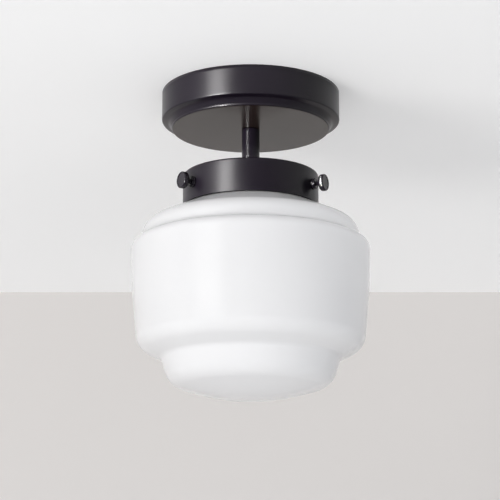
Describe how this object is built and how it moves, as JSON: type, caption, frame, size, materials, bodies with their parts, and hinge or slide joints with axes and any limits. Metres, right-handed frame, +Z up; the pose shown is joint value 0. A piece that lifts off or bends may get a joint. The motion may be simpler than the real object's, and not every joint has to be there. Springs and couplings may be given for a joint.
{
  "type": "semi flush ceiling light",
  "caption": "Semi flush ceiling light: stepped round canopy, short stem, shallow holder with thumbscrews, and a stepped drum shade of opal glass around a screw base bulb.",
  "frame": {"origin": "on the ceiling plane at the middle of the canopy, between the two box screws", "axes": "+Z up into the ceiling box, -Y towards the viewer, +X to the viewer's right, along the ceiling strap"},
  "size_m": [0.1853, 0.1852, 0.2607],
  "materials": {
    "canopy_black": "satin black lacquer",
    "fitter_black": "satin black lacquer",
    "stem_black": "satin black lacquer",
    "thumbscrew_black": "gloss black",
    "opal_glass": "glossy opal",
    "zinc_steel": "bright zinc",
    "brass": "plain brass",
    "ground_green": "green lacquer",
    "porcelain": "glazed white",
    "shell_brass": "rolled brass",
    "nylon": "natural nylon",
    "base_aluminium": "rolled aluminium",
    "solder": "dull solder",
    "black_glass": "black vitreous enamel",
    "bulb_white": "frosted white"
  },
  "bodies": {
    "fixture": {"ceiling_strap": "zinc_steel", "box_screws": "zinc_steel", "ground_screw": "ground_green", "upper_nipple": "brass", "strap_nuts": "brass", "canopy": "canopy_black", "stem": "stem_black", "fitter": "fitter_black", "fitter_bosses": "thumbscrew_black", "lower_nipple": "brass", "lock_washer": "zinc_steel", "fitter_nut": "brass", "socket_bracket": "zinc_steel", "bracket_screws": "zinc_steel", "socket_body": "porcelain", "screw_shell": "shell_brass", "centre_contact": "shell_brass", "terminal_screws": "brass", "shade": "opal_glass"},
    "screw_tip_1": {"screw_tip_1": "nylon"},
    "thumbscrew_1": {"thumbscrew_1": "thumbscrew_black"},
    "screw_tip_2": {"screw_tip_2": "nylon"},
    "thumbscrew_2": {"thumbscrew_2": "thumbscrew_black"},
    "screw_tip_3": {"screw_tip_3": "nylon"},
    "thumbscrew_3": {"thumbscrew_3": "thumbscrew_black"},
    "bulb_contact": {"bulb_contact": "solder"},
    "bulb": {"bulb_base": "base_aluminium", "bulb_insulator": "black_glass", "bulb_globe": "bulb_white"}
  },
  "joints": [
    {"name": "thumbscrew_1_travel", "type": "slide", "parent": "fixture", "child": "screw_tip_1", "axis": [-0.0663, 0.9978, 0], "range_m": [0, 0.0042]},
    {"name": "thumbscrew_1_turn", "type": "hinge", "parent": "screw_tip_1", "child": "thumbscrew_1", "pos_m": [-0.00398, 0.05987, -0.0806], "axis": [-0.0663, 0.9978, 0], "range_deg": [0, 2160]},
    {"name": "thumbscrew_2_travel", "type": "slide", "parent": "fixture", "child": "screw_tip_2", "axis": [-0.831, -0.5563, 0], "range_m": [0, 0.0042]},
    {"name": "thumbscrew_2_turn", "type": "hinge", "parent": "screw_tip_2", "child": "thumbscrew_2", "pos_m": [-0.04986, -0.03338, -0.0806], "axis": [-0.831, -0.5563, 0], "range_deg": [0, 2160]},
    {"name": "thumbscrew_3_travel", "type": "slide", "parent": "fixture", "child": "screw_tip_3", "axis": [0.8973, -0.4415, 0], "range_m": [0, 0.0042]},
    {"name": "thumbscrew_3_turn", "type": "hinge", "parent": "screw_tip_3", "child": "thumbscrew_3", "pos_m": [0.05384, -0.02649, -0.0806], "axis": [0.8973, -0.4415, 0], "range_deg": [0, 2160]},
    {"name": "bulb_drop", "type": "slide", "parent": "fixture", "child": "bulb_contact", "axis": [0, 0, -1], "range_m": [0, 0.01452]},
    {"name": "bulb_turn", "type": "hinge", "parent": "bulb_contact", "child": "bulb", "pos_m": [0, 0, -0.15], "axis": [0, 0, -1], "range_deg": [0, 1440]}
  ],
  "couplings": [
    {"joint": "thumbscrew_1_travel", "follows": "thumbscrew_1_turn", "m_per_rad": 0.00011141},
    {"joint": "thumbscrew_2_travel", "follows": "thumbscrew_2_turn", "m_per_rad": 0.00011141},
    {"joint": "thumbscrew_3_travel", "follows": "thumbscrew_3_turn", "m_per_rad": 0.00011141},
    {"joint": "bulb_drop", "follows": "bulb_turn", "m_per_rad": 0.00057773}
  ]
}
